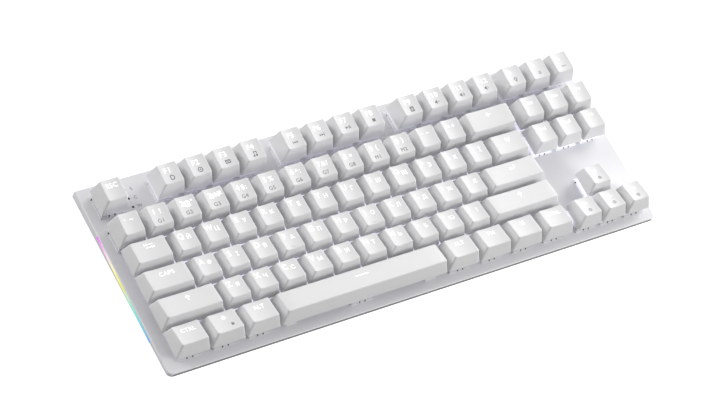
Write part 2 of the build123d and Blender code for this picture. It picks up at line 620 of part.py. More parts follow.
# ---------------------------------------------------------------- circuit board and electronics
with BuildPart() as circuit_board:
    with BuildSketch(deck.offset(-HOUSING_DEPTH)):
        RectangleRounded(FIELD_WIDTH - 2 * BOARD_INSET, FIELD_DEPTH - 2 * BOARD_INSET, BOARD_CORNER_RADIUS)
        with Locations(*SWITCH_CENTRES):
            Circle(CENTRE_POST_RADIUS + BOARD_HOLE_CLEARANCE, mode=Mode.SUBTRACT)
        with Locations(*SCREW_CENTRES):
            Circle(BOSS_RADIUS + BOSS_CLEARANCE, mode=Mode.SUBTRACT)
    extrude(amount=-BOARD_THICKNESS)
finish(circuit_board, "circuit_board")

with BuildPart() as key_leds:
    with BuildSketch(deck.offset(-HOUSING_DEPTH)):
        with Locations(*[(x, y + LED_SETBACK) for x, y in SWITCH_CENTRES]):
            Rectangle(LED_LENGTH, LED_WIDTH)
    extrude(amount=LED_HEIGHT)
finish(key_leds, "key_leds")

with BuildPart() as controller_chip:
    with BuildSketch(deck.offset(-HOUSING_DEPTH - BOARD_THICKNESS)):
        with Locations((CHIP_UNITS * UNIT - FIELD_WIDTH / 2, FUNCTION_GAP_Y)):
            Rectangle(CHIP_SIZE, CHIP_SIZE)
    extrude(amount=-CHIP_HEIGHT)
finish(controller_chip, "controller_chip")

with BuildPart() as usb_socket:
    with BuildSketch(deck * Plane(origin=(SOCKET_X, SOCKET_Y - SOCKET_LENGTH / 2, SOCKET_Z),
                                  x_dir=(-1, 0, 0), z_dir=(0, 1, 0))):
        RectangleRounded(SOCKET_WIDTH, SOCKET_HEIGHT, SOCKET_HEIGHT / 2 - SOCKET_WALL)
    extrude(amount=SOCKET_LENGTH)
    with BuildSketch(deck * Plane(origin=(SOCKET_X, SOCKET_Y + SOCKET_LENGTH / 2, SOCKET_Z),
                                  x_dir=(-1, 0, 0), z_dir=(0, 1, 0))):
        SlotOverall(SOCKET_WIDTH - 2 * SOCKET_WALL, SOCKET_HEIGHT - 2 * SOCKET_WALL)
        Rectangle(SOCKET_WIDTH - SOCKET_HEIGHT, SOCKET_TONGUE, mode=Mode.SUBTRACT)
    extrude(amount=SOCKET_BACK_WALL - SOCKET_LENGTH, mode=Mode.SUBTRACT)
finish(usb_socket, "usb_socket")

with BuildPart() as indicator_lenses:
    with BuildSketch(deck):
        with Locations(*INDICATOR_CENTRES):
            Circle(INDICATOR_RADIUS)
    extrude(amount=-HOUSING_DEPTH)
finish(indicator_lenses, "indicator_lenses")

# ---------------------------------------------------------------- switches
for name, shape in (("switch_bottom_housings", make_bottom_housing()),
                    ("switch_top_housings", make_top_housing()),
                    ("switch_springs", make_spring())):
    with BuildPart() as group:
        with Locations(*[on_deck(x, y) for x, y in SWITCH_CENTRES]):
            add(shape)
    finish(group, name)

with BuildPart() as stabiliser_housings:
    for side in (-1, 1):
        with Locations(*[on_deck(x, y) for x, y in STABILISER_CENTRES[(side + 1) // 2::2]]):
            add(make_stabiliser_housing(side))
finish(stabiliser_housings, "stabiliser_housings")

# ---------------------------------------------------------------- keys
slider = make_slider()
stem = make_stabiliser_stem()
caps = {}
for name, keys in KEYS.items():
    spread = STABILISED.get(name)
    stem_offsets = [0.0] if spread is None else [0.0, -spread, spread]
    shape_key = (keys[0][0], keys[0][1])
    if shape_key not in caps:
        caps[shape_key] = make_keycap(*shape_key, stem_offsets)
    with BuildPart() as key_group:
        with Locations(*[on_deck(x, y) for _, _, x, y in keys]):
            add(caps[shape_key])
            add(slider)
        if spread is not None:
            with Locations(*[on_deck(keys[0][2] + side * spread, keys[0][3]) for side in (-1, 1)]):
                add(stem)
    finish(key_group, name)

# ---------------------------------------------------------------- stabiliser wires
for name, spread in STABILISED.items():
    _, _, key_x, key_y = KEYS[name][0]
    lift = TRAVEL / 2
    reach = (WIRE_REACH ** 2 - lift ** 2) ** 0.5
    end_ratio = (WIRE_REACH + WIRE_END) / WIRE_REACH
    left_end = (-spread, WIRE_REACH - reach * end_ratio, WIRE_HEIGHT + lift * end_ratio)
    right_end = (spread, left_end[1], left_end[2])
    with BuildPart() as wire:
        with BuildLine(on_deck(key_x, key_y) * Plane.XY) as path:
            FilletPolyline(left_end, (-spread, WIRE_REACH, WIRE_HEIGHT), (spread, WIRE_REACH, WIRE_HEIGHT),
                           right_end, radius=2 * WIRE_RADIUS)
        with BuildSketch(Plane(origin=path.line @ 0, z_dir=path.line % 0)):
            Circle(WIRE_RADIUS)
        sweep(path=path.line)
    finish(wire, name.replace("key", "stabiliser_wire"))

# ---------------------------------------------------------------- screws
with BuildPart() as case_screws:
    with BuildSketch(deck.offset(-SCREW_SEAT)):
        with Locations(*SCREW_CENTRES):
            Circle(SCREW_RADIUS)
    extrude(amount=SCREW_LENGTH)
    with BuildSketch(deck.offset(-SCREW_SEAT)):
        with Locations(*SCREW_CENTRES):
            Circle(SCREW_HEAD_RADIUS)
    extrude(amount=-SCREW_HEAD_HEIGHT)
    with BuildSketch(deck.offset(-SCREW_SEAT - SCREW_HEAD_HEIGHT)):
        with Locations(*SCREW_CENTRES):
            RegularPolygon(SCREW_DRIVE, SCREW_DRIVE_SIDES)
    extrude(amount=SCREW_HEAD_HEIGHT / 2, mode=Mode.SUBTRACT)
finish(case_screws, "case_screws")

# ---------------------------------------------------------------- feet
with BuildPart() as rubber_feet:
    with BuildSketch():
        with Locations(*PAD_CENTRES):
            SlotOverall(PAD_LENGTH, PAD_WIDTH)
    extrude(amount=PAD_HEIGHT + PAD_RECESS)
finish(rubber_feet, "rubber_feet")

leg_tip = PIVOT_Y - LEG_LENGTH
for hand, side in (("left", -1), ("right", 1)):
    with BuildPart() as leg:
        with Locations((side * LEG_X, (PIVOT_Y + leg_tip) / 2, PIVOT_Z)):
            Box(LEG_WIDTH, LEG_LENGTH, LEG_THICKNESS)
        with Locations(Location((side * LEG_X, PIVOT_Y, PIVOT_Z), (0, 90, 0))):
            Cylinder(LEG_THICKNESS / 2, LEG_WIDTH)
            Cylinder(HINGE_PIN_RADIUS, LEG_WIDTH + 2 * HINGE_PIN_LENGTH)
    finish(leg, f"tilt_foot_{hand}")
    with BuildPart() as leg_pad:
        with Locations((side * LEG_X, leg_tip - LEG_PAD_THICKNESS / 2, PIVOT_Z)):
            Box(LEG_WIDTH, LEG_PAD_THICKNESS, LEG_THICKNESS)
    finish(leg_pad, f"tilt_foot_pad_{hand}")
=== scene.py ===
from math import cos, pi, radians, sin, tan

import bpy
from mathutils import Matrix, Vector


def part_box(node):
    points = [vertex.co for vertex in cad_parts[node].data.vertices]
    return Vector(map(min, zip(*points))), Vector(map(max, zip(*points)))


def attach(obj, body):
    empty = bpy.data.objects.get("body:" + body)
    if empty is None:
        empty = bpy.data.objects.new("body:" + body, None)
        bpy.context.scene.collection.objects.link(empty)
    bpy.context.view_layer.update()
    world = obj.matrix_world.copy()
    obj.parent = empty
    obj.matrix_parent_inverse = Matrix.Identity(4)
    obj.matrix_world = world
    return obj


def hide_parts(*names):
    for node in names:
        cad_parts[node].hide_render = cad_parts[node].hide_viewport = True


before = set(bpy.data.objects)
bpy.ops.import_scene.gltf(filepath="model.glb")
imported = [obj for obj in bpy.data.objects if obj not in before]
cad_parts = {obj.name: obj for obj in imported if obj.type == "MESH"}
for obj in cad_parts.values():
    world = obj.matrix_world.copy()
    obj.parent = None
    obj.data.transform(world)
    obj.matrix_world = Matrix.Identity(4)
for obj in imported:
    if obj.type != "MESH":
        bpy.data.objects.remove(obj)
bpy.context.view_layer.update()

# The looks of a white tenkeyless mechanical keyboard: moulded keycaps with their legends, lit switches,
# painted plate, and light bars in the sides. Lengths are in millimetres until MM turns them to metres.
# Deck coordinates are those of the CAD model: x right, y back, z out of the plate, z = 0 on its top face.

MM = 0.001

# ---------------------------------------------------------------- sizes shared with the CAD model
UNIT = 19.05
MAIN_UNITS = 15
NAV_GAP = 3.7
FUNCTION_GAP = 4.76
TYPING_ANGLE = 4.0
DECK_Y = -0.2633
DECK_HEIGHT = 16.968
SKIRT_HEIGHT = 6.5
SKIRT_INSET = 0.45
TOP_INSET = 3.2
TOP_DEPTH = 13.9
CAP_WALL = 1.35
CAP_ROOF = 1.9
CAP_BASE_RADIUS = 0.8
CAP_TOP_RADIUS = 1.1
DISH_DEPTH = 0.6
INDICATOR_X = 24.6
INDICATOR_SPACING = 6.0
FLANGE_SIZE = 15.6
NOTCH_SPACING = 3.8
NOTCH_WIDTH = 0.9
NOTCH_DEPTH = 0.7
# top, foot and corner radius of the painted shade blocks set in the flange notches
NOTCH_SHADE_TOP = 0.85
NOTCH_FOOT = 0.01
NOTCH_RADIUS = 0.1
SIDE_NOTCH_Y = 5.5
WIDE_KEY_SPREAD = 11.94
SPACE_KEY_SPREAD = 50.0
SLIDER_NECK = (7.0, 5.8)
SLIDER_SHOULDER = (9.4, 7.4)
SHOULDER_BOTTOM = 0.9
SHOULDER_TOP = 5.3
STEM_SEAT = 6.9
STEM_SIZE = 5.0
STEM_BOTTOM = 0.3
POST_RADIUS = 2.75
POST_SIDES = 24
POST_GAP = 0.05
HOLLOW_BASE_RADIUS = 0.5
HOLLOW_TOP_RADIUS = 0.9

# Row profile: inset of the top face's front edge, its height above the skirt, slope of the top face.
PROFILES = {
    "function": (2.95, 11.35, 1.5),
    "number": (2.95, 11.35, 2.0),
    "upper": (3.15, 9.7, -2.8),
    "home": (3.25, 9.2, -6.0),
    "lower": (3.6, 10.15, -10.5),
    "bottom": (3.8, 10.3, -11.5),
}
ROWS_FROM_FRONT = ["bottom", "lower", "home", "upper", "number", "function"]
FIELD_WIDTH = (MAIN_UNITS + 3) * UNIT + NAV_GAP
FIELD_DEPTH = len(ROWS_FROM_FRONT) * UNIT + FUNCTION_GAP


def row_centre(row):
    gap = FUNCTION_GAP if row == "function" else 0
    return (ROWS_FROM_FRONT.index(row) + 0.5) * UNIT + gap - FIELD_DEPTH / 2


deck = Matrix.Translation((0, DECK_Y, DECK_HEIGHT)) @ Matrix.Rotation(radians(TYPING_ANGLE), 4, "X")
to_metres = Matrix.Scale(MM, 4)

# ---------------------------------------------------------------- camera
CAMERA_PLACE = (-849.4, -583.63, 1343.4)
CAMERA_RIGHT = (0.8307, -0.4558, 0.3197)
CAMERA_UP = (0.2510, 0.8192, 0.5156)
CAMERA_LENS = 138.92


def make_camera():
    """The camera, set square to its own right and up directions in deck coordinates."""
    right = Vector(CAMERA_RIGHT).normalized()
    back = right.cross(Vector(CAMERA_UP)).normalized()
    up = back.cross(right)
    turn = Matrix((right, up, back)).transposed()
    camera = bpy.data.objects.new("camera", bpy.data.cameras.new("camera"))
    bpy.context.scene.collection.objects.link(camera)
    camera.matrix_world = Matrix.LocRotScale(
        (deck @ Vector(CAMERA_PLACE)) * MM, deck.to_3x3() @ turn, None)
    camera.data.lens = CAMERA_LENS
    camera.data.clip_end = 10
    bpy.context.scene.camera = camera


make_camera()


# ---------------------------------------------------------------- materials
# painted glow: the switch housings give off this light, which stands in for the LEDs' light seen between
# the keys
GLOW_COLOUR = (0.82, 0.81, 1.0, 1)
GLOW_EDGE = 5.0
HOUSING_GLOW = 0.3
COVER_GLOW = 0.65
FUNCTION_ROW_GLOW = 0.25
# grey of the painted shade on the cover's front-facing faces
PAINTED_SHADE_GREY = (0.2, 0.2, 0.2)


class Surface:
    """A node material with one Principled shader and helpers for what feeds it."""

    def __init__(self, name, colour, roughness, **values):
        self.material = bpy.data.materials.new(name)
        self.material.use_nodes = True
        self.tree = self.material.node_tree
        self.shader = self.tree.nodes["Principled BSDF"]
        self.colour = colour
        self.set("Base Color", (*colour, 1))
        self.set("Roughness", roughness)
        for socket, value in values.items():
            self.set(socket.replace("_", " ").title().replace("Ior", "IOR"), value)
        self.place = self.node("ShaderNodeTexCoord")

    def set(self, socket, value):
        self.shader.inputs[socket].default_value = value

    def node(self, kind, **properties):
        made = self.tree.nodes.new(kind)
        for key, value in properties.items():
            setattr(made, key, value)
        return made

    def link(self, source, target):
        self.tree.links.new(source, target)

    def noise(self, per_metre, detail=2.0):
        """Noise over the object's own coordinates, which are metres."""
        noise = self.node("ShaderNodeTexNoise")
        noise.inputs["Scale"].default_value = per_metre
        noise.inputs["Detail"].default_value = detail
        self.link(self.place.outputs["Object"], noise.inputs["Vector"])
        return noise.outputs["Fac"]

    def ramp(self, factor, stops):
        """A colour ramp with (position, colour) stops."""
        ramp = self.node("ShaderNodeValToRGB")
        elements = ramp.color_ramp.elements
        while len(elements) < len(stops):
            elements.new(0.5)
        for element, (position, colour) in zip(elements, stops):
            element.position = position
            element.color = (*colour, 1)
        self.link(factor, ramp.inputs["Fac"])
        return ramp.outputs["Color"]

    def mottle(self, per_metre, amount):
        """Slight, cloudy variation of the base colour."""
        dark = tuple(value * (1 - amount) for value in self.colour)
        colour = self.ramp(self.noise(per_metre, 3.0), [(0.35, dark), (0.65, self.colour)])
        self.link(colour, self.shader.inputs["Base Color"])

    def grain(self, per_metre, height, strength=1.0):
        """Bump of a moulded or painted surface; height is in metres."""
        bump = self.node("ShaderNodeBump")
        bump.inputs["Strength"].default_value = strength
        bump.inputs["Distance"].default_value = height
        self.link(self.noise(per_metre), bump.inputs["Height"])
        self.link(bump.outputs["Normal"], self.shader.inputs["Normal"])

    def vary_roughness(self, per_metre, low, high):
        span = self.node("ShaderNodeMapRange")
        span.inputs["To Min"].default_value = low
        span.inputs["To Max"].default_value = high
        self.link(self.noise(per_metre), span.inputs["Value"])
        self.link(span.outputs["Result"], self.shader.inputs["Roughness"])


def painted_glow_between_keys(surface, strength):
    """Painted glow: emission on the switch housings that stands in for the light from under the keys,
    left out along the field's open front and left sides and dimmed on the function row.
    """
    axes = surface.node("ShaderNodeSeparateXYZ")
    surface.link(surface.place.outputs["Object"], axes.inputs["Vector"])
    open_left = (UNIT / 2 - FIELD_WIDTH / 2) * MM
    open_front = (UNIT / 2 - FIELD_DEPTH / 2) * MM
    shares = []
    for axis, edge in (("X", open_left), ("Y", open_front)):
        span = surface.node("ShaderNodeMapRange")
        span.inputs["From Min"].default_value = edge - GLOW_EDGE * MM
        span.inputs["From Max"].default_value = edge
        surface.link(axes.outputs[axis], span.inputs["Value"])
        shares.append(span.outputs["Result"])
    back = surface.node("ShaderNodeMapRange")
    back.inputs["From Min"].default_value = (row_centre("number") + UNIT / 2) * MM
    back.inputs["From Max"].default_value = (row_centre("number") + UNIT / 2 + FUNCTION_GAP) * MM
    back.inputs["To Min"].default_value = strength
    back.inputs["To Max"].default_value = strength * FUNCTION_ROW_GLOW
    surface.link(axes.outputs["Y"], back.inputs["Value"])
    result = back.outputs["Result"]
    for share in shares:
        product = surface.node("ShaderNodeMath", operation="MULTIPLY")
        surface.link(result, product.inputs[0])
        surface.link(share, product.inputs[1])
        result = product.outputs["Value"]
    surface.link(result, surface.shader.inputs["Emission Strength"])


def keycap_plastic():
    surface = Surface("keycap_plastic", (0.685, 0.685, 0.69), 0.4)
    surface.mottle(60, 0.015)
    surface.grain(2600, 0.00003, 0.35)
    surface.vary_roughness(900, 0.36, 0.44)
    return surface.material


def legend_white():
    # the emission is painted glow, standing in for the backlight that shines through the legends
    surface = Surface("legend_white", (0.95, 0.95, 0.95), 0.35,
                      emission_color=(1, 1, 1, 1), emission_strength=0.35)
    surface.mottle(800, 0.03)
    return surface.material


def legend_grey():
    surface = Surface("legend_grey", (0.2, 0.2, 0.21), 0.5)
    surface.mottle(1500, 0.2)
    return surface.material


def cover_paint():
    """White paint, with a painted shade line: the faces that look to the front, along the rim's front
    face, are darkened to grey.
    """
    surface = Surface("cover_paint", (0.75, 0.75, 0.77), 0.38)
    shape = surface.node("ShaderNodeNewGeometry")
    facing = surface.node("ShaderNodeVectorMath", operation="DOT_PRODUCT")
    surface.link(shape.outputs["True Normal"], facing.inputs[0])
    facing.inputs[1].default_value = (0, -cos(radians(TYPING_ANGLE)), -sin(radians(TYPING_ANGLE)))
    cloud = surface.ramp(surface.noise(25, 3.0),
                         [(0.35, (0.73, 0.73, 0.75)), (0.65, surface.colour)])
    # painted shade: faces that look to the front are darkened to grey
    painted_shade = surface.node("ShaderNodeMapRange")
    painted_shade.inputs["From Min"].default_value = 0.96
    painted_shade.inputs["From Max"].default_value = 0.995
    surface.link(facing.outputs["Value"], painted_shade.inputs["Value"])
    # sockets of a colour mix: 0 is the factor, 6 and 7 are the colours, output 2 is the result
    mixed = surface.node("ShaderNodeMix", data_type="RGBA")
    surface.link(painted_shade.outputs["Result"], mixed.inputs[0])
    surface.link(cloud, mixed.inputs[6])
    mixed.inputs[7].default_value = (*PAINTED_SHADE_GREY, 1)
    surface.link(mixed.outputs[2], surface.shader.inputs["Base Color"])
    surface.grain(5200, 0.00002, 0.5)
    surface.vary_roughness(1800, 0.32, 0.45)
    return surface.material


def case_plastic():
    surface = Surface("case_plastic", (0.66, 0.66, 0.67), 0.5)
    surface.mottle(18, 0.03)
    surface.grain(2200, 0.00006, 0.6)
    surface.vary_roughness(700, 0.44, 0.58)
    return surface.material


def housing_plastic():
    # painted glow: the housing gives off light that stands in for the LEDs' light between the keys
    surface = Surface("housing_plastic", (0.74, 0.74, 0.75), 0.3, emission_color=GLOW_COLOUR)
    painted_glow_between_keys(surface, HOUSING_GLOW)
    surface.mottle(400, 0.04)
    surface.vary_roughness(1200, 0.24, 0.36)
    return surface.material


def lit_cover_plastic():
    # painted glow: the cover gives off light that stands in for the LEDs' light between the keys
    surface = Surface("lit_cover_plastic", (0.72, 0.72, 0.74), 0.18, emission_color=GLOW_COLOUR)
    painted_glow_between_keys(surface, COVER_GLOW)
    surface.mottle(500, 0.05)
    surface.vary_roughness(900, 0.12, 0.24)
    return surface.material


def slider_plastic():
    surface = Surface("slider_plastic", (0.75, 0.75, 0.77), 0.32)
    surface.mottle(300, 0.04)
    surface.vary_roughness(900, 0.26, 0.38)
    return surface.material


def board_laminate():
    surface = Surface("board_laminate", (0.80, 0.81, 0.80), 0.42)
    surface.mottle(900, 0.08)
    surface.grain(1800, 0.00002, 0.4)
    return surface.material


def led_lens():
    surface = Surface("led_lens", (0.85, 0.84, 0.95), 0.2,
                      emission_color=(0.75, 0.72, 1.0, 1), emission_strength=2.0)
    surface.mottle(1500, 0.05)
    return surface.material


def chip_resin():
    surface = Surface("chip_resin", (0.02, 0.02, 0.022), 0.55)
    surface.mottle(1500, 0.3)
    surface.grain(5000, 0.00002, 0.6)
    return surface.material


def steel(name, colour, roughness):
    surface = Surface(name, colour, roughness, metallic=1.0)
    surface.mottle(300, 0.12)
    surface.vary_roughness(900, roughness * 0.75, roughness * 1.3)
    return surface.material


def foot_rubber():
    surface = Surface("foot_rubber", (0.42, 0.42, 0.43), 0.8)
    surface.mottle(300, 0.12)
    surface.grain(3000, 0.00008, 0.7)
    return surface.material


def indicator_lens():
    surface = Surface("indicator_lens", (0.03, 0.03, 0.035), 0.25)
    surface.mottle(1500, 0.4)
    return surface.material


def light_bar(low, high):
    """Acrylic strip whose light changes colour from the front of the case to the back."""
    surface = Surface("light_bar_acrylic", (0.9, 0.9, 0.9), 0.3, emission_strength=0.55)
    axes = surface.node("ShaderNodeSeparateXYZ")
    surface.link(surface.place.outputs["Object"], axes.inputs["Vector"])
    span = surface.node("ShaderNodeMapRange")
    span.inputs["From Min"].default_value = low
    span.inputs["From Max"].default_value = high
    surface.link(axes.outputs["Y"], span.inputs["Value"])
    colour = surface.ramp(span.outputs["Result"], [
        (0.0, (0.10, 0.30, 0.75)),
        (0.12, (0.10, 0.50, 0.75)),
        (0.30, (0.15, 0.75, 0.62)),
        (0.42, (0.45, 0.80, 0.50)),
        (0.52, (0.80, 0.80, 0.08)),
        (0.66, (0.95, 0.90, 0.25)),
        (0.78, (0.90, 0.72, 0.70)),
        (0.90, (0.85, 0.35, 0.80)),
        (1.0, (0.70, 0.12, 0.80)),
    ])
    surface.link(colour, surface.shader.inputs["Emission Color"])
    surface.link(colour, surface.shader.inputs["Base Color"])
    surface.vary_roughness(700, 0.24, 0.36)
    return surface.material


CAP = keycap_plastic()
WHITE = legend_white()
GREY = legend_grey()
SLIDER = slider_plastic()
# DARK is the black of the painted shade in the flange notches
DARK = chip_resin()


# ---------------------------------------------------------------- meshes
SHARP_ANGLE = 40.0


class Shape:
    """Vertices and faces collected in deck coordinates for one piece."""

    def __init__(self):
        self.vertices = []
        self.faces = []

    def add(self, vertices, faces, place):
        start = len(self.vertices)
        self.vertices += [place @ Vector(vertex) for vertex in vertices]
        self.faces += [[start + index for index in face] for face in faces]

    def piece(self, name, material, body, slot, *replaced):
        """The collected shape as an object that rides on a body."""
        mesh = bpy.data.meshes.new(name)
        mesh.from_pydata(self.vertices, [], self.faces)
        mesh.transform(to_metres @ deck)
        mesh.materials.append(material)
        mesh.update()
        made = bpy.data.objects.new(name, mesh)
        bpy.context.scene.collection.objects.link(made)
        mesh.shade_smooth()
        mesh.set_sharp_from_angle(angle=radians(SHARP_ANGLE))
        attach(made, body)
        if replaced:
            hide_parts(*replaced)
        return made


def bridge(first, second, count):
    """Faces between two rings of the same number of points, first below second."""
    return [[first + i, first + (i + 1) % count, second + (i + 1) % count, second + i]
            for i in range(count)]


def rounded_rectangle(width, depth, radius, steps=5, sides=(10, 6)):
    """Points of a rounded rectangle, anticlockwise, its long sides divided evenly."""
    points = []
    reach_x = width / 2 - radius
    reach_y = depth / 2 - radius
    corners = [(1, -1, -pi / 2), (1, 1, 0), (-1, 1, pi / 2), (-1, -1, pi)]
    for number, (side_x, side_y, start) in enumerate(corners):
        for step in range(steps + 1):
            angle = start + step / steps * pi / 2
            points.append((side_x * reach_x + radius * cos(angle),
                           side_y * reach_y + radius * sin(angle)))
        here = points[-1]
        next_x, next_y, next_start = corners[(number + 1) % 4]
        ahead = (next_x * reach_x + radius * cos(next_start),
                 next_y * reach_y + radius * sin(next_start))
        divisions = sides[1] if number % 2 == 0 else sides[0]
        for step in range(1, divisions):
            share = step / divisions
            points.append((here[0] + (ahead[0] - here[0]) * share,
                           here[1] + (ahead[1] - here[1]) * share))
    return points


EDGE_ROUND = 0.42
EDGE_REACH = 1.3
SKIRT_ROUND = 0.2
ROUND_STEPS = 4
TOP_RINGS = 6
ENDS_DIVISIONS = 8
LEAST_DIVISIONS = 10


class Cap:
    """The shape of one keycap, on its key's own axis."""

    def __init__(self, row, width, dished=True):
        self.inset, self.front_height, slope = PROFILES[row]
        self.lean = radians(slope)
        self.width = width * UNIT
        self.sides = (max(LEAST_DIVISIONS, int(self.width / 2)), ENDS_DIVISIONS)
        self.top_width = self.width - 2 * TOP_INSET
        self.middle = self.inset + TOP_DEPTH / 2 - UNIT / 2
        self.height = SKIRT_HEIGHT + self.front_height + TOP_DEPTH / 2 * tan(self.lean)
        self.dish = DISH_DEPTH if dished else 0.0

    def on_top(self, u, v, lift=0.0):
        """A point of the dished top face, u right and v back from its middle."""
        sag = self.dish * (1 - (2 * u / self.top_width) ** 2)
        return Vector((u, self.middle + v, self.height + v * tan(self.lean) - sag + lift))

    def top_outline(self, inset, radius):
        return rounded_rectangle(self.top_width - 2 * inset, TOP_DEPTH - 2 * inset, radius,
                                 sides=self.sides)

    def base_ring(self, inset, radius):
        """Points of the skirt's lower edge, moved in from its outside."""
        outline = rounded_rectangle(self.width - 2 * (SKIRT_INSET + inset),
                                    UNIT - 2 * (SKIRT_INSET + inset), radius, sides=self.sides)
        return [Vector((x, y, SKIRT_HEIGHT)) for x, y in outline]

    def build(self):
        """Vertices and faces of the whole hollow cap."""
        base = self.base_ring(0, CAP_BASE_RADIUS)
        corner = [self.on_top(u, v) for u, v in self.top_outline(0, CAP_TOP_RADIUS)]
        outline = self.top_outline(EDGE_ROUND, CAP_TOP_RADIUS - EDGE_ROUND)
        inner = [self.on_top(u, v) for u, v in outline]
        rim = self.base_ring(SKIRT_ROUND, CAP_BASE_RADIUS - SKIRT_ROUND)
        count = len(base)
        rings = [rim]
        # skirt edge: from its flat lower rim, round to the wall
        for step in range(1, ROUND_STEPS + 1):
            t = step / ROUND_STEPS
            ring = []
            for low, edge, high in zip(rim, base, corner):
                wall = edge.lerp(high, SKIRT_ROUND / (high - edge).length)
                ring.append(low * (1 - t) ** 2 + edge * 2 * t * (1 - t) + wall * t * t)
            rings.append(ring)
        rings.append([low.lerp(high, 0.5) for low, high in zip(base, corner)])
        # shoulder: from the wall, round to the top face
        for step in range(ROUND_STEPS + 2):
            t = step / (ROUND_STEPS + 1)
            ring = []
            for low, edge, top in zip(base, corner, inner):
                wall = edge.lerp(low, EDGE_ROUND * EDGE_REACH / (edge - low).length)
                ring.append(wall * (1 - t) ** 2 + edge * 2 * t * (1 - t) + top * t * t)
            rings.append(ring)
        # top face: rings that shrink to its middle
        for step in range(1, TOP_RINGS):
            share = 1 - step / TOP_RINGS
            rings.append([self.on_top(u * share, v * share) for u, v in outline])
        vertices = [point for ring in rings for point in ring]
        faces = []
        for number in range(len(rings) - 1):
            faces += bridge(number * count, (number + 1) * count, count)
        centre = len(vertices)
        vertices.append(self.on_top(0, 0))
        last = (len(rings) - 1) * count
        faces += [[last + i, last + (i + 1) % count, centre] for i in range(count)]
        # inside: the skirt's inner rim up to the roof
        start = len(vertices)
        vertices += self.base_ring(CAP_WALL, HOLLOW_BASE_RADIUS)
        vertices += [self.on_top(u, v, -CAP_ROOF)
                     for u, v in self.top_outline(CAP_WALL, HOLLOW_TOP_RADIUS)]
        faces += [[start + i, start + (i + 1) % count, (i + 1) % count, i] for i in range(count)]
        faces += [list(reversed(face)) for face in bridge(start, start + count, count)]
        roof = len(vertices)
        vertices.append(self.on_top(0, 0, -CAP_ROOF))
        faces += [[start + count + (i + 1) % count, start + count + i, roof] for i in range(count)]
        return vertices, faces


def slab(outline, low=-0.5, high=0.5):
    """An outline, anticlockwise, as a closed slab between two heights."""
    count = len(outline)
    vertices = [(x, y, z) for z in (low, high) for x, y in outline]
    faces = bridge(0, count, count)
    faces.append(list(reversed(range(count))))
    faces.append(list(range(count, 2 * count)))
    return vertices, faces


def block(size_x, size_y, low, high, radius, centre=(0, 0)):
    """A block with rounded upright edges between two heights."""
    outline = rounded_rectangle(size_x, size_y, radius, steps=3, sides=(1, 1))
    return slab([(x + centre[0], y + centre[1]) for x, y in outline], low, high)


def disc(x, y, radius, steps=20):
    return [(x + radius * cos(2 * pi * i / steps), y + radius * sin(2 * pi * i / steps))
            for i in range(steps)]


def cap_posts(cap, offsets):
    """The round posts under a cap that hold its stems."""
    parts = []
    for offset in offsets:
        top = cap.on_top(offset, -cap.middle).z - CAP_ROOF / 2
        outline = disc(offset, 0, POST_RADIUS, POST_SIDES)
        parts.append(slab(outline, STEM_SEAT + POST_GAP, top))
    return parts


# ---------------------------------------------------------------- key layout
# A run is (node, widths in units of its keys, gap in units to the left of the run).
MAIN_ROWS = {
    "function": [("key_escape", [1], 0), ("keys_f1_to_f4", [1] * 4, 1),
                 ("keys_f5_to_f8", [1] * 4, 0.5), ("keys_f9_to_f12", [1] * 4, 0.5)],
    "number": [("keys_number_left", [1] * 7, 0), ("keys_number_right", [1] * 6, 0),
               ("key_backspace", [2], 0)],
    "upper": [("key_tab", [1.5], 0), ("keys_upper_left", [1] * 5, 0),
              ("keys_upper_right", [1] * 7, 0), ("key_backslash", [1.5], 0)],
    "home": [("key_caps_lock", [1.75], 0), ("keys_home_left", [1] * 5, 0),
             ("keys_home_right", [1] * 6, 0), ("key_enter", [2.25], 0)],
    "lower": [("key_left_shift", [2.25], 0), ("keys_lower_left", [1] * 5, 0),
              ("keys_lower_right", [1] * 5, 0), ("key_right_shift", [2.75], 0)],
    "bottom": [("key_left_control", [1.25], 0), ("key_left_super", [1.25], 0),
               ("key_left_alt", [1.25], 0), ("key_space", [6.25], 0), ("key_right_alt", [1.25], 0),
               ("key_function", [1.25], 0), ("key_menu", [1.25], 0),
               ("key_right_control", [1.25], 0)],
}
NAV_ROWS = {
    "function": [("keys_print_scroll_pause", [1] * 3, 0)],
    "number": [("keys_insert_home_page_up", [1] * 3, 0)],
    "upper": [("keys_delete_end_page_down", [1] * 3, 0)],
    "lower": [("key_arrow_up", [1], 1)],
    "bottom": [("key_arrow_left", [1], 0), ("key_arrow_down", [1], 0),
               ("key_arrow_right", [1], 0)],
}
SPREADS = {
    "key_backspace": WIDE_KEY_SPREAD,
    "key_enter": WIDE_KEY_SPREAD,
    "key_left_shift": WIDE_KEY_SPREAD,
    "key_right_shift": WIDE_KEY_SPREAD,
    "key_space": SPACE_KEY_SPREAD,
}


def lay_out_keys():
    """All keys as node: [(row, width in units, deck x, deck y), ...]."""
    keys = {}
    for rows, start in ((MAIN_ROWS, 0), (NAV_ROWS, MAIN_UNITS * UNIT + NAV_GAP)):
        for row, runs in rows.items():
            left = start - FIELD_WIDTH / 2
            for node, widths, gap in runs:
                left += gap * UNIT
                for width in widths:
                    middle = left + width * UNIT / 2
                    keys.setdefault(node, []).append((row, width, middle, row_centre(row)))
                    left += width * UNIT
    return keys


KEYS = lay_out_keys()

# ---------------------------------------------------------------- legends
# Marks laid on a key's top face: (what, u, v, height) from the middle of the face. Text is what a
# keyboard of this layout carries; a name in angle brackets is a pictogram drawn by icon().
LATIN = (-3.1, 2.7, 3.8)
SECOND = (1.9, 1.2, 2.9)
DIGIT = (-2.9, 2.4, 3.8)
SYMBOLS = (1.2, 2.1, 3.3)
LOWER = (-0.7, -3.9, 2.6)


def letters(pairs):
    return [([(pair[0], *LATIN), (pair[1], *SECOND)], []) for pair in pairs.split()]


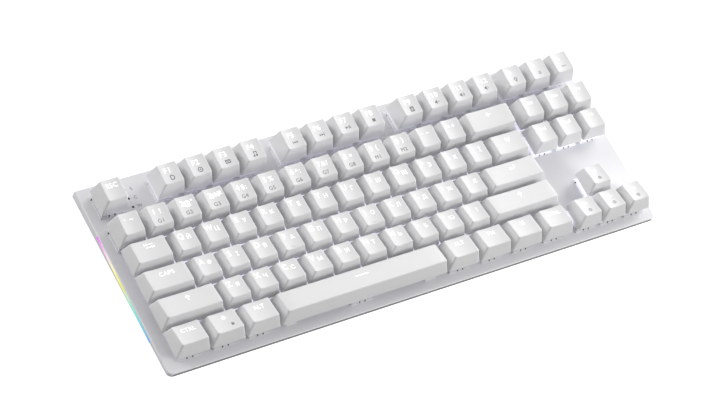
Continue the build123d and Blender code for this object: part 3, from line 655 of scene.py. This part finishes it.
def digits(entries):
    return [([(entry[0], *DIGIT), (entry[1:], *SYMBOLS)], [(extra, *LOWER)] if extra else [])
            for entry, extra in entries]


def function_keys(first, icons):
    return [([(f"F{first + number}", -1.0, 2.2, 3.6)], [(f"<{icon}>", 0.2, -3.1, 3.5)])
            for number, icon in enumerate(icons)]


def words(*entries, size=2.7, v=2.6):
    return [([(entry, 0.0, v, size)], []) for entry in entries]


LEGENDS = {
    "key_escape": words("ESC", size=3.2, v=2.7),
    "keys_f1_to_f4": function_keys(1, ["bubble", "globe", "mail", "note"]),
    "keys_f5_to_f8": function_keys(5, ["previous", "next", "play", "stop"]),
    "keys_f9_to_f12": function_keys(9, ["calculator", "mute", "louder", "quieter"]),
    "keys_print_scroll_pause": [
        ([("Ps", -2.2, 2.9, 2.6)], [("<bulb>", 0.2, -3.1, 3.2)]),
        ([("Sl", -2.2, 2.9, 2.6)], [("<dimmer>", 0.2, -3.1, 3.2)]),
        ([("Pb", -2.2, 2.9, 2.6)], [("<dots>", 0.2, -3.1, 3.2)]),
    ],
    "keys_number_left": digits([("`~", ""), ("1!", "G1"), ('2@"', "G2"), ("3#№", "G3"),
                                ("4$;", "G4"), ("5%", "G5"), ("6^:", "G6")]),
    "keys_number_right": digits([("7&?", "G7"), ("8*", "G8"), ("9(", "M1"), ("0)", "M2"),
                                 ("-_", ""), ("=+", "")]),
    "key_backspace": words("←", size=3.4),
    "keys_insert_home_page_up": words("Ins", "Hm", "Pu", size=2.6),
    "key_tab": [([("<tab>", 0.0, 2.6, 4.2)], [])],
    "keys_upper_left": letters("QЙ WЦ EУ RК TЕ"),
    "keys_upper_right": letters("YН UГ IШ OЩ PЗ [Х ]Ї"),
    "key_backslash": words("\\|/", size=2.9),
    "keys_delete_end_page_down": words("Del", "End", "Pd", size=2.6),
    "key_caps_lock": words("CAPS", size=2.9),
    "keys_home_left": letters("AФ SІ DВ FА GП"),
    "keys_home_right": letters("HР JО KЛ LД ;Ж 'Є"),
    "key_enter": words("↵", size=4.0),
    "key_left_shift": words("↑", size=3.6),
    "keys_lower_left": letters("ZЯ XЧ CС VМ BИ"),
    "keys_lower_right": letters("NТ MЬ ,Б .Ю /?"),
    "key_right_shift": words("↑", size=3.6),
    "key_arrow_up": [([("↑", 0.0, 2.4, 3.0)], [("<sun>", 0.0, -3.2, 2.4)])],
    "key_left_control": words("CTRL", size=2.7),
    "key_left_super": [([("<diamond>", 0.0, 2.6, 3.2)], [("<lock>", 3.2, -2.6, 2.6)])],
    "key_left_alt": words("ALT", size=2.8),
    "key_space": [([("<dash>", 0.0, 2.0, 1.0)], [])],
    "key_right_alt": words("ALT", size=2.8),
    "key_function": words("FN", size=2.9),
    "key_menu": [([("<menu>", 0.0, 2.6, 3.0)], [])],
    "key_right_control": words("CTRL", size=2.7),
    "key_arrow_left": [([("←", 0.0, 2.4, 3.0)], [("<minus>", 0.0, -3.2, 2.4)])],
    "key_arrow_down": [([("↓", 0.0, 2.4, 3.0)], [("<ring>", 0.0, -3.2, 2.4)])],
    "key_arrow_right": [([("→", 0.0, 2.4, 3.0)], [("<plus>", 0.0, -3.2, 2.4)])],
}


def bar(x, y, width, height):
    return [(x - width / 2, y - height / 2), (x + width / 2, y - height / 2),
            (x + width / 2, y + height / 2), (x - width / 2, y + height / 2)]


def wedge(x, y, size, side):
    """A triangle that points right for side 1 and left for side -1."""
    back, tip = x - side * size / 2, x + side * size / 2
    return [(back, y - size / 2), (tip, y), (back, y + size / 2)][::side]


def arc(x, y, radius, line, start=0.0, end=360.0, steps=20):
    """A band along part of a circle, as a list of four-cornered pieces."""
    parts = []
    for step in range(steps):
        a = radians(start + (end - start) * step / steps)
        b = radians(start + (end - start) * (step + 1) / steps)
        inner, outer = radius - line / 2, radius + line / 2
        parts.append([(x + inner * cos(a), y + inner * sin(a)), (x + outer * cos(a), y + outer * sin(a)),
                      (x + outer * cos(b), y + outer * sin(b)), (x + inner * cos(b), y + inner * sin(b))])
    return parts


def frame_of(width, height, line):
    """The four bars of an open rectangle."""
    across = (width - line) / 2
    up = (height - line) / 2
    return [bar(0, up, width, line), bar(0, -up, width, line),
            bar(-across, 0, line, height - 2 * line), bar(across, 0, line, height - 2 * line)]


def speaker():
    return [bar(-0.38, 0, 0.18, 0.36), [(-0.29, -0.18), (0.0, -0.45), (0.0, 0.45), (-0.29, 0.18)]]


def icon(name):
    """A pictogram as polygons, drawn about its middle and about one unit high."""
    line = 0.16
    drawings = {
        "bubble": lambda: arc(-0.05, 0, 0.4, line, -90, 90)
        + [bar(-0.2, 0.4, 0.3, line), bar(-0.2, -0.4, 0.3, line), bar(-0.32, 0, line, 0.8)],
        "tab": lambda: [bar(-0.7, 0.24, 0.1, 0.42), wedge(-0.45, 0.24, 0.36, -1),
                        bar(0.15, 0.24, 1.0, 0.1), bar(0.7, -0.24, 0.1, 0.42),
                        wedge(0.45, -0.24, 0.36, 1), bar(-0.15, -0.24, 1.0, 0.1)],
        "globe": lambda: arc(0, 0, 0.42, line) + [disc(0, 0, 0.14)],
        "mail": lambda: frame_of(1.0, 0.7, line)
        + [[(-0.4, 0.2), (0, -0.12), (0.4, 0.2), (0, 0.02)]],
        "note": lambda: [bar(-0.2, 0.02, 0.11, 0.8), bar(0.32, 0.08, 0.11, 0.8),
                         bar(0.06, 0.42, 0.62, 0.16), disc(-0.34, -0.38, 0.18),
                         disc(0.18, -0.32, 0.18)],
        "previous": lambda: [bar(-0.45, 0, 0.1, 0.6), wedge(-0.16, 0, 0.4, -1), wedge(0.26, 0, 0.4, -1)],
        "next": lambda: [bar(0.45, 0, 0.1, 0.6), wedge(0.16, 0, 0.4, 1), wedge(-0.26, 0, 0.4, 1)],
        "play": lambda: [wedge(-0.22, 0, 0.55, 1), bar(0.2, 0, 0.12, 0.6), bar(0.42, 0, 0.12, 0.6)],
        "stop": lambda: [bar(0, 0, 0.6, 0.6)],
        "calculator": lambda: frame_of(0.8, 1.0, line) + [bar(0, 0.2, 0.4, 0.16)]
        + [bar(x, y, 0.13, 0.13) for x in (-0.14, 0.14) for y in (-0.08, -0.3)],
        "mute": lambda: speaker() + [bar(0.3, 0, 0.36, 0.1)],
        "louder": lambda: speaker() + arc(0.05, 0, 0.25, 0.09, -50, 50, 6)
        + arc(0.05, 0, 0.45, 0.09, -50, 50, 8),
        "quieter": lambda: speaker() + arc(0.05, 0, 0.25, 0.09, -50, 50, 6),
        "bulb": lambda: arc(0, 0.12, 0.3, line) + [bar(0, -0.34, 0.28, 0.12), bar(0, -0.5, 0.18, 0.1)],
        "dimmer": lambda: [bar(-0.18, 0, 0.14, 0.7), bar(0.18, 0, 0.14, 0.7)],
        "dots": lambda: [disc(x, 0, 0.12) for x in (-0.36, 0, 0.36)],
        "sun": lambda: arc(0, 0, 0.4, line)
        + [bar(0, 0, 0.4, 0.1), bar(0, 0.15, 0.1, 0.2), bar(0, -0.15, 0.1, 0.2)],
        "minus": lambda: arc(0, 0, 0.42, line) + [bar(0, 0, 0.42, 0.12)],
        "plus": lambda: arc(0, 0, 0.42, line) + [disc(0, 0, 0.16)],
        "ring": lambda: arc(0, 0, 0.42, line) + [bar(0, 0, 0.12, 0.4)],
        "lock": lambda: [bar(0, -0.18, 0.66, 0.5)] + arc(0, 0.08, 0.22, 0.1, 0, 180, 10),
        "diamond": lambda: [[(0, -0.5), (0.5, 0), (0, 0.5), (-0.5, 0)]],
        "menu": lambda: frame_of(0.9, 1.0, 0.12) + [bar(0, y, 0.46, 0.1) for y in (-0.2, 0, 0.2)],
        "dash": lambda: [bar(0, 0, 9.5, 0.75)],
    }
    return drawings[name]()


LETTER_SHARE = 0.73  # height of a capital as a share of the text size
LETTER_SPACING = 1.12
LEGEND_LIFT = 0.03
LEGEND_DEPTH = 0.12
LEGEND_WEIGHT = 0.02
written = {}


def text_mesh(text, bold):
    """Vertices and faces of some text, about one unit high and deep, centred."""
    if (text, bold) not in written:
        curve = bpy.data.curves.new("legend", "FONT")
        curve.body = text
        curve.align_x = "CENTER"
        curve.size = 1 / LETTER_SHARE
        curve.bevel_depth = LEGEND_WEIGHT if bold else LEGEND_WEIGHT / 3
        curve.bevel_resolution = 0
        curve.space_character = LETTER_SPACING
        curve.extrude = 0.5
        curve.resolution_u = 4
        holder = bpy.data.objects.new("legend", curve)
        mesh = bpy.data.meshes.new_from_object(holder)
        heights = [vertex.co.y for vertex in mesh.vertices] or [0]
        words_or_letter = text.isalnum() or len(text) > 1
        middle = 0.5 if words_or_letter else (min(heights) + max(heights)) / 2
        points = [(v.co.x, v.co.y - middle, v.co.z) for v in mesh.vertices]
        written[text, bold] = points, [list(polygon.vertices) for polygon in mesh.polygons]
        bpy.data.objects.remove(holder)
        bpy.data.curves.remove(curve)
        bpy.data.meshes.remove(mesh)
    return written[text, bold]


def lay_mark(shape, cap, place, mark, bold):
    """Lay a legend on a cap's top face as a thin slab that follows the dish."""
    what, u, v, height = mark
    if what.startswith("<"):
        parts = [slab(outline) for outline in icon(what[1:-1])]
    else:
        parts = [text_mesh(what, bold)]
    for vertices, faces in parts:
        laid = [cap.on_top(u + x * height, v + y * height,
                           LEGEND_LIFT if z > 0 else LEGEND_LIFT - LEGEND_DEPTH) for x, y, z in vertices]
        shape.add(laid, faces, place)


# ---------------------------------------------------------------- keys
HOMING_BAR = (3.2, 0.7)
HOMING_BAR_V = -5.2
HOMING_BAR_TOP = 0.28
HOMING_BAR_FOOT = -0.2
HOMING_KEYS = {"keys_home_left": 3, "keys_home_right": 1}

for node, keys in KEYS.items():
    caps = Shape()
    sliders = Shape()
    white = Shape()
    grey = Shape()
    spread = SPREADS.get(node)
    offsets = [0.0] if spread is None else [0.0, -spread, spread]
    for number, (row, width, x, y) in enumerate(keys):
        place = Matrix.Translation((x, y, 0))
        cap = Cap(row, width, dished=node != "key_space")
        caps.add(*cap.build(), place)
        for part in cap_posts(cap, offsets):
            caps.add(*part, place)
        sliders.add(*block(*SLIDER_SHOULDER, SHOULDER_BOTTOM, SHOULDER_TOP, 0.6), place)
        sliders.add(*block(*SLIDER_NECK, SHOULDER_TOP, STEM_SEAT, 0.5), place)
        for offset in offsets[1:]:
            sliders.add(*block(STEM_SIZE, STEM_SIZE, STEM_BOTTOM, STEM_SEAT, 0.4, (offset, 0)), place)
        primary, secondary = LEGENDS[node][number]
        for mark in primary:
            lay_mark(white, cap, place, mark, True)
        for mark in secondary:
            lay_mark(grey, cap, place, mark, False)
        if HOMING_KEYS.get(node) == number:
            outline = rounded_rectangle(*HOMING_BAR, HOMING_BAR[1] / 2 - 0.01, sides=(2, 1))
            vertices, faces = slab(outline, HOMING_BAR_FOOT, HOMING_BAR_TOP)
            laid = [cap.on_top(u, v + HOMING_BAR_V, z) for u, v, z in vertices]
            caps.add(laid, faces, place)
    caps.piece(f"{node}_caps", CAP, node, "keycap_plastic", node)
    sliders.piece(f"{node}_sliders", SLIDER, node, "housing_plastic")
    if white.vertices:
        white.piece(f"{node}_legends", WHITE, node, "keycap_plastic")
    if grey.vertices:
        grey.piece(f"{node}_lower_legends", GREY, node, "keycap_plastic")


# ---------------------------------------------------------------- marks on the cover
MARK_OFFSET = 4.4
MARK_SIZE = 2.3
MARK_TOP = 0.02
MARK_FOOT = -0.05


def cover_marks():
    """The letters beside the three indicator lenses."""
    marks = Shape()
    x = INDICATOR_X + MARK_OFFSET - FIELD_WIDTH / 2
    for step, letter in ((1, "S"), (0, "C"), (-1, "W")):
        vertices, faces = text_mesh(letter, False)
        place = Matrix.Translation((x, row_centre("function") + step * INDICATOR_SPACING, 0))
        laid = [(u * MARK_SIZE, v * MARK_SIZE, MARK_TOP if z > 0 else MARK_FOOT)
                for u, v, z in vertices]
        marks.add(laid, faces, place)
    marks.piece("cover_marks", GREY, "base", "cover_paint")


cover_marks()


def painted_notch_shade():
    """Painted shade: dark blocks set in the openings in the flange of each switch, two in front and one
    on the left, where the openings lie in shade.
    """
    shade_blocks = Shape()
    edge = (FLANGE_SIZE - NOTCH_DEPTH) / 2
    spots = [(-NOTCH_SPACING / 2, -edge, NOTCH_WIDTH, NOTCH_DEPTH),
             (NOTCH_SPACING / 2, -edge, NOTCH_WIDTH, NOTCH_DEPTH),
             (-edge, SIDE_NOTCH_Y, NOTCH_DEPTH, NOTCH_WIDTH)]
    for node, keys in KEYS.items():
        for row, _, x, y in keys:
            if row == "function" and node != "key_escape":
                continue
            for u, v, size_x, size_y in spots:
                shade_block = block(size_x, size_y, NOTCH_FOOT, NOTCH_SHADE_TOP, NOTCH_RADIUS, (u, v))
                shade_blocks.add(*shade_block, Matrix.Translation((x, y, 0)))
    shade_blocks.piece("painted_notch_shade", DARK, "base", "housing_plastic")


painted_notch_shade()

# ---------------------------------------------------------------- finishes of the CAD nodes
bar_low, bar_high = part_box("light_bar_left")
FINISHES = {
    "top_plate": cover_paint(),
    "bottom_case": case_plastic(),
    "circuit_board": board_laminate(),
    "switch_bottom_housings": housing_plastic(),
    "switch_top_housings": lit_cover_plastic(),
    "switch_springs": steel("spring_steel", (0.72, 0.72, 0.7), 0.25),
    "stabiliser_housings": slider_plastic(),
    "key_leds": led_lens(),
    "controller_chip": chip_resin(),
    "usb_socket": steel("socket_steel", (0.66, 0.66, 0.67), 0.28),
    "side_led_boards": board_laminate(),
    "indicator_lenses": indicator_lens(),
    "case_screws": steel("screw_steel", (0.35, 0.35, 0.36), 0.35),
    "rubber_feet": foot_rubber(),
}
WIRE = steel("wire_steel", (0.7, 0.69, 0.66), 0.22)
LEG = case_plastic()
PAD = foot_rubber()
BAR = light_bar(bar_low[1], bar_high[1])


def finish_of(node):
    if node in FINISHES:
        return FINISHES[node]
    if node.startswith("light_bar"):
        return BAR
    if node.startswith("stabiliser_wire"):
        return WIRE
    if node.startswith("tilt_foot_pad"):
        return PAD
    if node.startswith("tilt_foot"):
        return LEG
    return CAP


for node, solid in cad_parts.items():
    solid.data.materials.clear()
    solid.data.materials.append(finish_of(node))


# ---------------------------------------------------------------- studio, in metres and watts
DIM_SIDE = (-0.82, -0.56, 0.1)
WORLD_BRIGHT = 0.78
WORLD_DIM = 0.36
FLOOR_REACH = 6.0
FLOOR_GLOW = 0.9
LIGHTS = {
    "key_light": ((1.37, 0.63, 1.0), (0.9, 0.9), 10),
    "back_left_light": ((-1.28, 1.28, 0.85), (1.0, 0.8), 20),
    "front_right_light": ((1.45, -1.15, 0.75), (1.0, 0.8), 23),
    "edge_light": ((1.6, 0.35, 0.3), (0.8, 0.3), 10),
}


def area_light(name, place, size, power):
    """A white rectangular lamp that faces the keyboard."""
    lamp = bpy.data.lights.new(name, "AREA")
    lamp.shape = "RECTANGLE"
    lamp.size, lamp.size_y = size
    lamp.energy = power
    holder = bpy.data.objects.new(name, lamp)
    bpy.context.scene.collection.objects.link(holder)
    holder.location = place
    holder.rotation_euler = (-Vector(place)).to_track_quat("-Z", "Y").to_euler()


def make_floor():
    """A pale sheet that the camera sees as evenly lit paper."""
    mesh = bpy.data.meshes.new("floor")
    corners = [(x, y, 0) for x, y in bar(0, 0, 2 * FLOOR_REACH, 2 * FLOOR_REACH)]
    mesh.from_pydata(corners, [], [(0, 1, 2, 3)])
    surface = Surface("floor_paper", (0.4, 0.4, 0.4), 0.9, emission_color=(1, 1, 1, 1))
    path = surface.node("ShaderNodeLightPath")
    glow = surface.node("ShaderNodeMapRange")
    glow.inputs["To Max"].default_value = FLOOR_GLOW
    surface.link(path.outputs["Is Camera Ray"], glow.inputs["Value"])
    surface.link(glow.outputs["Result"], surface.shader.inputs["Emission Strength"])
    mesh.materials.append(surface.material)
    floor = bpy.data.objects.new("floor", mesh)
    bpy.context.scene.collection.objects.link(floor)


def make_world():
    """White surroundings, dimmer on the side that the camera stands on."""
    world = bpy.data.worlds.new("studio")
    world.use_nodes = True
    tree = world.node_tree
    background = tree.nodes["Background"]
    place = tree.nodes.new("ShaderNodeTexCoord")
    facing = tree.nodes.new("ShaderNodeVectorMath")
    facing.operation = "DOT_PRODUCT"
    facing.inputs[1].default_value = DIM_SIDE
    tree.links.new(place.outputs["Generated"], facing.inputs[0])
    light = tree.nodes.new("ShaderNodeMapRange")
    light.inputs["From Min"].default_value = -1.0
    light.inputs["To Min"].default_value = WORLD_BRIGHT
    light.inputs["To Max"].default_value = WORLD_DIM
    tree.links.new(facing.outputs["Value"], light.inputs["Value"])
    path = tree.nodes.new("ShaderNodeLightPath")
    seen = tree.nodes.new("ShaderNodeMix")
    tree.links.new(path.outputs["Is Camera Ray"], seen.inputs["Factor"])
    tree.links.new(light.outputs["Result"], seen.inputs["A"])
    seen.inputs["B"].default_value = 1.0
    tree.links.new(seen.outputs["Result"], background.inputs["Strength"])
    background.inputs["Color"].default_value = (1, 1, 1, 1)
    bpy.context.scene.world = world


make_floor()
make_world()
for name, (place, size, power) in LIGHTS.items():
    area_light(name, place, size, power)
bpy.context.scene.view_settings.view_transform = "Standard"
